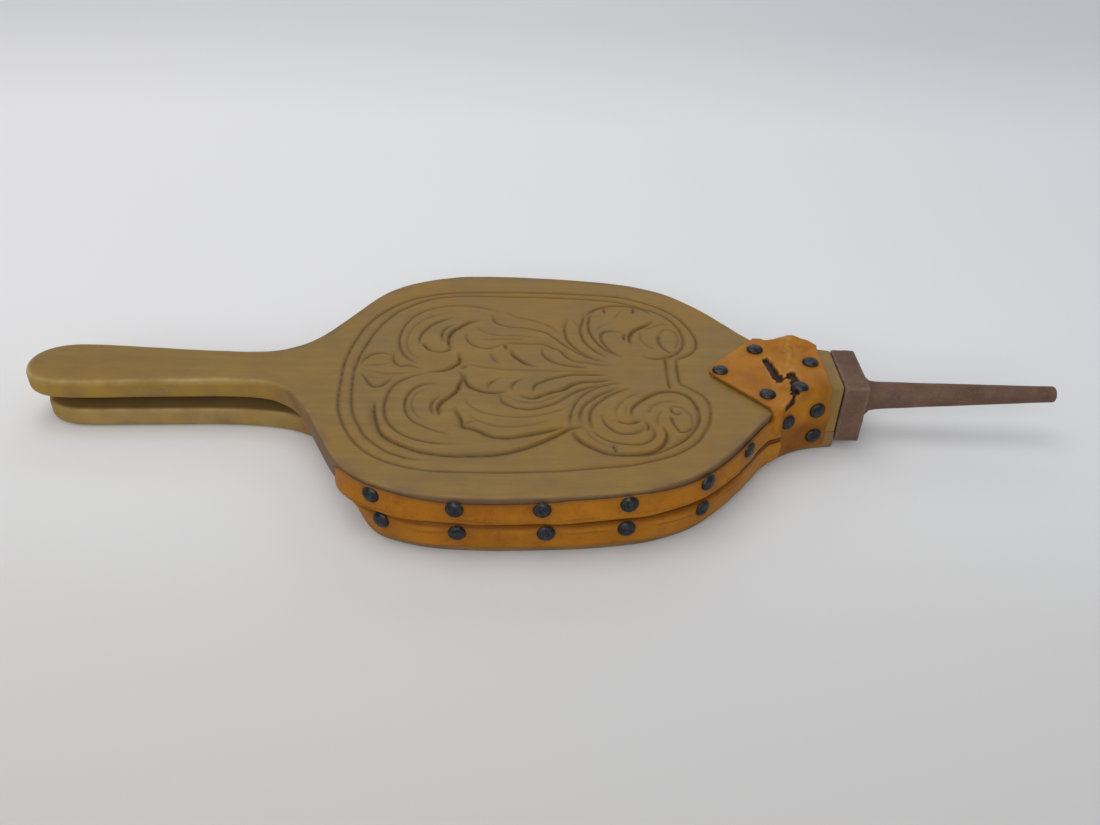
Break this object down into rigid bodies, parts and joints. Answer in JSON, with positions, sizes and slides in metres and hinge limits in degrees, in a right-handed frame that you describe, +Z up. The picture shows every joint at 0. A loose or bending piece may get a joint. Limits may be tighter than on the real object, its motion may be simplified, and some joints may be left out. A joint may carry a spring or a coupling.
{
  "type": "hand bellows",
  "caption": "Hand bellows: two paddle boards hinged at a leather covered nose block, folded leather gusset with domed tacks, clack valve and tapered iron nozzle.",
  "frame": {"origin": "centre of the closed bellows' footprint, on the plane the lower board lies on", "axes": "+X from the handles to the nozzle tip, +Y across the boards, +Z up through the boards"},
  "size_m": [0.54, 0.2164, 0.0425],
  "materials": {
    "wood": "worn waxed olive tan board with shallow carving",
    "leather": "orange tan worn saddle leather",
    "valve_leather": "undyed inner leather",
    "iron": "rough, evenly rusted",
    "tack_steel": "dark blued steel, soft shine",
    "screw_steel": "dull steel"
  },
  "bodies": {
    "base": {"lower_board": "wood", "nose_block": "wood", "nozzle": "iron", "side_leather": "leather", "nose_leather": "leather", "valve_strip": "valve_leather", "lower_tack_near_1": "tack_steel", "lower_tack_near_2": "tack_steel", "lower_tack_near_3": "tack_steel", "lower_tack_near_4": "tack_steel", "lower_tack_near_5": "tack_steel", "lower_tack_far_1": "tack_steel", "lower_tack_far_2": "tack_steel", "lower_tack_far_3": "tack_steel", "lower_tack_far_4": "tack_steel", "lower_tack_far_5": "tack_steel", "block_side_tack_near_1": "tack_steel", "block_side_tack_near_2": "tack_steel", "block_side_tack_near_3": "tack_steel", "block_side_tack_far_1": "tack_steel", "block_side_tack_far_2": "tack_steel", "block_side_tack_far_3": "tack_steel", "block_top_tack_front": "tack_steel", "block_top_tack_rear": "tack_steel", "block_screw_near": "screw_steel", "block_screw_far": "screw_steel", "flange_screw_near_top": "screw_steel", "flange_screw_near_low": "screw_steel", "flange_screw_far_top": "screw_steel", "flange_screw_far_low": "screw_steel", "valve_tack_near": "tack_steel", "valve_tack_far": "tack_steel"},
    "upper": {"upper_board": "wood", "upper_tack_near_1": "tack_steel", "upper_tack_near_2": "tack_steel", "upper_tack_near_3": "tack_steel", "upper_tack_near_4": "tack_steel", "upper_tack_near_5": "tack_steel", "upper_tack_near_6": "tack_steel", "upper_tack_far_1": "tack_steel", "upper_tack_far_2": "tack_steel", "upper_tack_far_3": "tack_steel", "upper_tack_far_4": "tack_steel", "upper_tack_far_5": "tack_steel", "upper_tack_far_6": "tack_steel", "flap_tack_near": "tack_steel", "flap_tack_far": "tack_steel", "flap_tack_tip": "tack_steel"},
    "valve": {"valve_flap": "valve_leather"}
  },
  "joints": [
    {"name": "bellows_hinge", "type": "hinge", "parent": "base", "child": "upper", "pos_m": [0.1182, 0, 0.0337], "axis": [0, 1, 0], "range_deg": [0, 24], "deforming": ["side_leather", "nose_leather"]},
    {"name": "valve_hinge", "type": "hinge", "parent": "base", "child": "valve", "pos_m": [-0.0267, 0, 0.0143], "axis": [0, -1, 0], "range_deg": [0, 3.5]}
  ]
}
